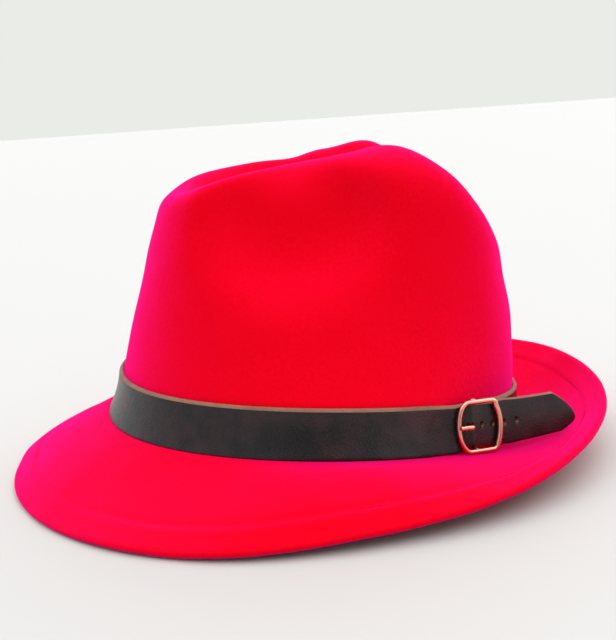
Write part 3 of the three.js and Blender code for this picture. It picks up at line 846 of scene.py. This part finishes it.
plating_finish, add, join, shader = new_finish("rose_gold_plating")
marks = placed_effect(add, polish_marks, Scale=1)
plated = mixed(add, join, marks.outputs["Rub"], (0.8, 0.4, 0.31), (0.7, 0.32, 0.24))
join(plated, shader.inputs["Base Color"])
shader.inputs["Metallic"].default_value = 1
join(ranged(add, join, marks.outputs["Mark"], 0.3, 0.7, 0.14, 0.3), shader.inputs["Roughness"])
join(bumped(add, join, marks.outputs["Mark"], 0.06, 0.0001), shader.inputs["Normal"])

buckle_points = np.concatenate([frame_points, bar_points])
buckle_faces = [*frame_faces, *([corner + len(frame_points) for corner in face] for face in bar_faces)]
buckle_frame = made_piece("buckle_wire_frame", buckle_points, buckle_faces, plating_finish)
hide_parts("buckle_frame")
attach(buckle_frame, "root")

# Buckle prong. A pin of the same plated metal with a thin eye bent round the centre bar. It comes up through
# the strap's hole and rests on the front of the frame.
eye_wire_diameter = 0.85
eye_wire = eye_wire_diameter / 2
eye = bar_diameter / 2 + gap + eye_wire
on_strap = over_loop + strap_thickness / 2 + gap + prong_diameter / 2
on_side = left_level + (wire_diameter + prong_diameter) / 2 + gap
prong_rows = [
    *(
        (eye * math.cos(bend), bar_level + eye * math.sin(bend), eye_wire)
        for bend in np.radians(np.linspace(-90, 90, 9))
    ),
    (-0.6 * prong_hole, bar_level + eye, eye_wire),
    (-prong_hole, over_loop - 0.7 * strap_thickness, 1.5 * eye_wire),
    (-prong_hole, over_loop + strap_thickness / 2, 0.42 * prong_diameter),
    (-prong_hole - prong_diameter / 2, on_strap, prong_diameter / 2),
    (-0.6 * side_reach, (on_strap + on_side) / 2, prong_diameter / 2),
    (-side_reach, on_side, prong_diameter / 2),
    (-side_reach - 0.35 * wire_diameter, on_side - 0.3 * gap, 0.46 * prong_diameter),
    (-side_reach - 0.5 * wire_diameter, on_side - gap / 2, 0.3 * prong_diameter),
]
prong_curve = smooth_rows(
    [np.array([*at_buckle(along, middle_up, out), radius]) for along, out, radius in prong_rows], 4
)
prong_points, prong_faces = round_wire(
    [row[:3] for row in prong_curve], [row[3] for row in prong_curve], buckle_up, False, 16
)
prong = made_piece("buckle_pin", prong_points, prong_faces, plating_finish)
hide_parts("buckle_prong")
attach(prong, "root")

# Table top. A plain white surface that runs a long way back, under a bright background. The room is dimmer on
# the camera's side, so the dark leather has that side to reflect.
floor_mesh = bpy.data.meshes.new("table_top")
floor_mesh.from_pydata([(-4, -4, 0), (4, -4, 0), (4, 4, 0), (-4, 4, 0)], [], [(0, 1, 2, 3)])
floor_finish, add, join, shader = new_finish("white_table_top")
shader.inputs["Base Color"].default_value = (0.475, 0.48, 0.472, 1)
shader.inputs["Roughness"].default_value = 0.7
floor_mesh.materials.append(floor_finish)
table_top = bpy.data.objects.new("table_top", floor_mesh)
bpy.context.scene.collection.objects.link(table_top)

backdrop = bpy.data.worlds.new("pale_room")
backdrop.use_nodes = True
add, join = node_chain(backdrop.node_tree)
glow = backdrop.node_tree.nodes["Background"]
facing_room = add("ShaderNodeSeparateXYZ")
join(add("ShaderNodeTexCoord").outputs["Generated"], facing_room.inputs[0])
dimming = ranged(add, join, facing_room.outputs["X"], -0.7, 0.15, 0, 1)
join(mixed(add, join, dimming, (0.97, 0.98, 1), (0.07, 0.075, 0.08)), glow.inputs["Color"])
glow.inputs["Strength"].default_value = 0.95
seen = add("ShaderNodeBackground")
seen.inputs["Color"].default_value = (0.82, 0.84, 0.8, 1)
choice = add("ShaderNodeMixShader")
join(add("ShaderNodeLightPath").outputs["Is Camera Ray"], choice.inputs["Fac"])
join(glow.outputs[0], choice.inputs[1])
join(seen.outputs[0], choice.inputs[2])
join(choice.outputs[0], backdrop.node_tree.nodes["World Output"].inputs["Surface"])
bpy.context.scene.world = backdrop


def soft_light(name, place, strength, colour):
    """A far, very wide light that comes from the side of the given place."""
    lamp = bpy.data.lights.new(name, "SUN")
    lamp.angle, lamp.energy, lamp.color = math.radians(120), strength, colour
    shown = bpy.data.objects.new(name, lamp)
    shown.location = place
    shown.rotation_euler = Vector(place).to_track_quat("Z", "Y").to_euler()
    bpy.context.scene.collection.objects.link(shown)


soft_light("overhead_light", (-0.3, 0.1, 1.4), 2.75, (1, 0.99, 0.98))
soft_light("left_light", (0.5, -1.5, 0.8), 1.4, (1, 0.98, 0.97))
soft_light("right_light", (0.3, 1.5, 1), 2.1, (1, 0.98, 0.97))

# Camera, low beside the wearer's left and turned a little, as in the photograph.
camera_place = Vector((0.478, -0.087, 0.184))
camera_target = Vector((0, 0.0105, 0.062))
camera_roll = math.radians(-3.55)
lens = bpy.data.cameras.new("photograph_view")
lens.sensor_width = 36
lens.lens = 55.1
lens.shift_x = -0.0243
lens.shift_y = 0.0033
lens.clip_start = 0.01
camera = bpy.data.objects.new("photograph_view", lens)
looking = camera_target - camera_place
level = looking.to_track_quat("-Z", "Y").to_matrix().to_4x4()
camera.matrix_world = Matrix.Translation(camera_place) @ level @ Matrix.Rotation(camera_roll, 4, "Z")
bpy.context.scene.collection.objects.link(camera)
bpy.context.scene.camera = camera
bpy.context.scene.view_settings.view_transform = "Standard"
bpy.context.scene.view_settings.look = "None"
